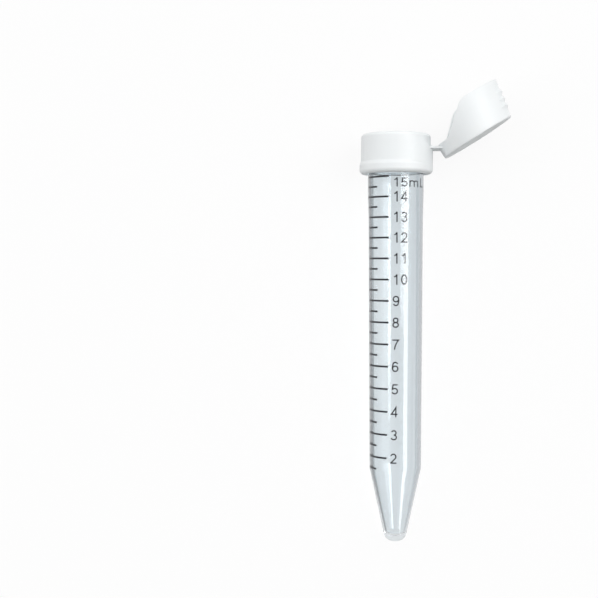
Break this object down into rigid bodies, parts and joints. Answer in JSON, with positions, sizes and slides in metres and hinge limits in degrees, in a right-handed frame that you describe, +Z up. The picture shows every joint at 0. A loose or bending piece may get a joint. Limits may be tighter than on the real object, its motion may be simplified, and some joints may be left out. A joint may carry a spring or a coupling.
{
  "type": "conical tube",
  "caption": "Clear conical tube with a printed volume scale, a white screw collar and a skirted flip lid on a living hinge.",
  "frame": {"origin": "centre of the bounding box's foot, on the surface that the tube lies on", "axes": "+Y along the tube from its tip to its mouth, +Z up from the surface, +X towards the open lid"},
  "size_m": [0.0448, 0.1376, 0.025],
  "materials": {
    "clear_polypropylene": "clear, moulded, faintly cloudy",
    "white_polypropylene": "satin, moulded"
  },
  "bodies": {
    "tube": {"tube": "clear_polypropylene"},
    "cap": {"screw_collar": "white_polypropylene", "hinge_strap": "white_polypropylene"},
    "lid": {"flip_lid": "white_polypropylene"}
  },
  "joints": [
    {"name": "cap_turn", "type": "hinge", "parent": "tube", "child": "cap", "pos_m": [-0.01151, 0.05305, 0.01121], "axis": [0, 0.9994, 0.0351], "range_deg": [0, 540]},
    {"name": "lid_flip", "type": "hinge", "parent": "cap", "child": "lid", "pos_m": [0.00035, 0.04943, 0.01168], "axis": [-0.0502, -0.0351, 0.9981], "range_deg": [-32, 148], "deforming": ["hinge_strap"]}
  ]
}
